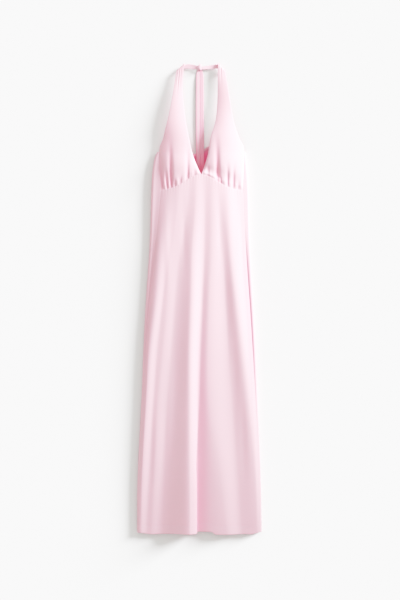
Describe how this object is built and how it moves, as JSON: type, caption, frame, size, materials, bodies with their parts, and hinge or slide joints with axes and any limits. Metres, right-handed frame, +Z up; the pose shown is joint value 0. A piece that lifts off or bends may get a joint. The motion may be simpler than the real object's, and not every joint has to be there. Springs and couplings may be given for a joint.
{
  "type": "long halter dress lying flat",
  "caption": "Long halter-neck dress lying flat, with gathered cups whose straps run into ties knotted behind the neck, a low back and a flared skirt in soft folds.",
  "frame": {"origin": "middle of the dress's footprint on the surface that it lies on", "axes": "+X across the dress towards the right of the picture, +Y from the hem to the neck, +Z up from the surface through the back to the front"},
  "size_m": [0.3792, 1.43, 0.0382],
  "materials": {
    "jersey": "smooth pale pink jersey, soft low sheen"
  },
  "bodies": {
    "root": {"skirt_front": "jersey", "back": "jersey", "cup_left": "jersey", "cup_right": "jersey", "tie_left": "jersey", "tie_right": "jersey", "tie_end_left": "jersey", "tie_end_right": "jersey", "tie_knot": "jersey"}
  },
  "joints": []
}
